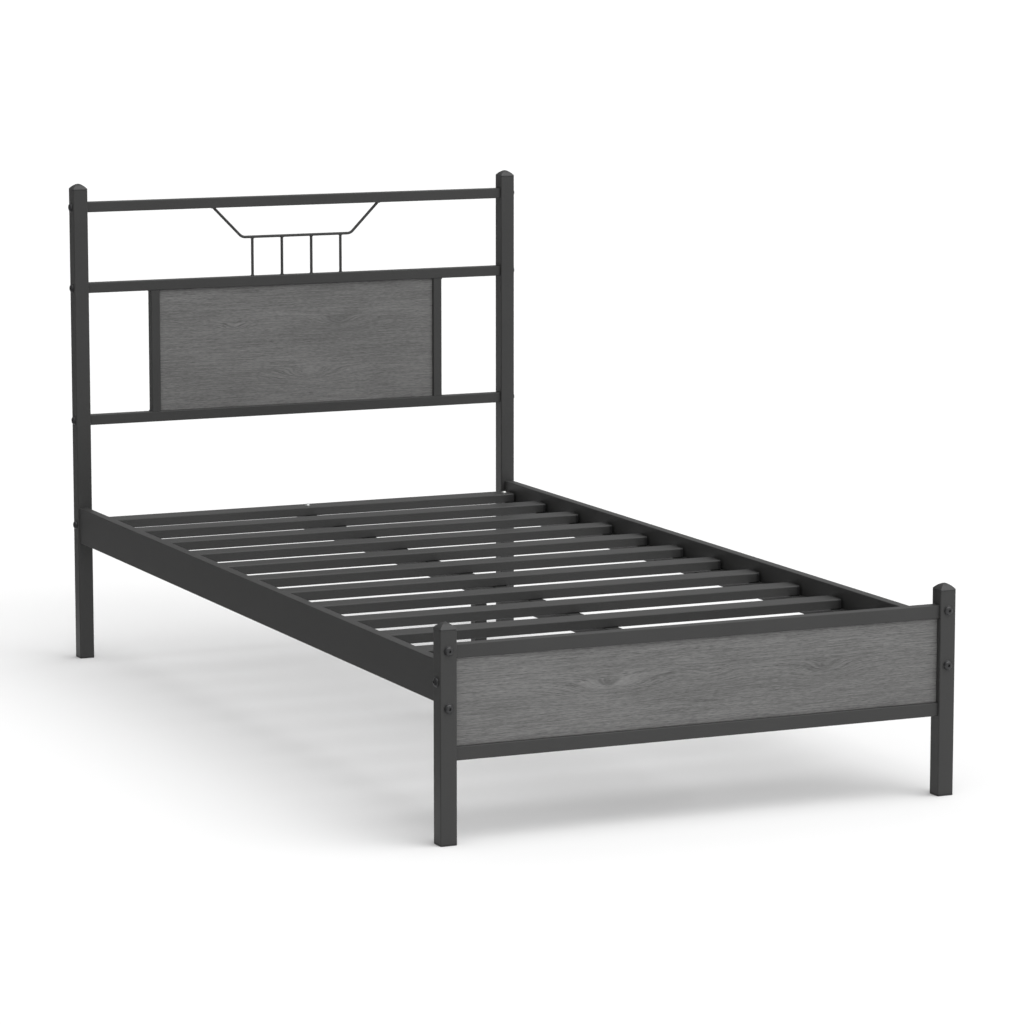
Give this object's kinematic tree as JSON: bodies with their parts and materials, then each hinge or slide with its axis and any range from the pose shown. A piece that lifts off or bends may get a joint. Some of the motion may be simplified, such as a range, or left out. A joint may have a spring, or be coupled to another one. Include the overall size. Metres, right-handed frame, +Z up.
{
  "type": "single bed frame",
  "caption": "Black metal single bed frame with square posts, a railed headboard with a wire ornament, grey wood-grain panels in head and foot, and a slatted base on a centre beam and leg.",
  "frame": {"origin": "on the floor under the middle of the bed", "axes": "+X to the right seen from the foot, +Y from the foot to the head, +Z up"},
  "size_m": [1.0408, 2.0054, 1.0263],
  "materials": {
    "powder_coat": "satin charcoal-black powder coat",
    "wood_grain_laminate": "matt grey wood-grain laminate on board, horizontal grain",
    "post_cap_plastic": "satin black moulded plastic",
    "black_plastic": "matt black moulded plastic",
    "black_bolt": "black-coated steel",
    "zinc_hardware": "bright zinc-plated steel"
  },
  "bodies": {
    "bed_frame": {"centre_beam": "powder_coat", "centre_leg": "powder_coat", "centre_leg_plug": "zinc_hardware", "foot_bottom_rail": "powder_coat", "foot_cap_left": "post_cap_plastic", "foot_cap_right": "post_cap_plastic", "foot_corner_bolts": "black_bolt", "foot_corner_nuts": "zinc_hardware", "foot_cross_bar": "powder_coat", "foot_floor_plug_left": "black_plastic", "foot_floor_plug_right": "black_plastic", "foot_panel": "wood_grain_laminate", "foot_post_left": "powder_coat", "foot_post_right": "powder_coat", "foot_top_rail": "powder_coat", "head_bent_rod": "powder_coat", "head_cap_left": "post_cap_plastic", "head_cap_right": "post_cap_plastic", "head_cross_bar": "powder_coat", "head_floor_plug_left": "black_plastic", "head_floor_plug_right": "black_plastic", "head_lower_rail": "powder_coat", "head_middle_rail": "powder_coat", "head_panel": "wood_grain_laminate", "head_post_left": "powder_coat", "head_post_right": "powder_coat", "head_rail_bolts": "black_bolt", "head_rail_inserts": "zinc_hardware", "head_spindle_1": "powder_coat", "head_spindle_2": "powder_coat", "head_spindle_3": "powder_coat", "head_spindle_4": "powder_coat", "head_top_rail": "powder_coat", "head_upright_left": "powder_coat", "head_upright_right": "powder_coat", "panel_screws": "zinc_hardware", "platform_bolts": "zinc_hardware", "platform_nuts": "zinc_hardware", "rail_bracket_foot_left": "powder_coat", "rail_bracket_foot_right": "powder_coat", "rail_bracket_head_left": "powder_coat", "rail_bracket_head_right": "powder_coat", "rail_lock_bolts": "black_bolt", "side_rail_left": "powder_coat", "side_rail_right": "powder_coat", "slat_01": "powder_coat", "slat_02": "powder_coat", "slat_03": "powder_coat", "slat_04": "powder_coat", "slat_05": "powder_coat", "slat_06": "powder_coat", "slat_07": "powder_coat", "slat_08": "powder_coat", "slat_09": "powder_coat", "slat_10": "powder_coat", "slat_end_plugs": "black_plastic", "slat_ledge_left": "powder_coat", "slat_ledge_right": "powder_coat"},
    "levelling_foot": {"levelling_pad": "black_plastic", "levelling_screw": "zinc_hardware"}
  },
  "joints": [
    {"name": "levelling_foot_slide", "type": "slide", "parent": "bed_frame", "child": "levelling_foot", "axis": [0, 0, -1], "range_m": [0, 0.012]}
  ]
}
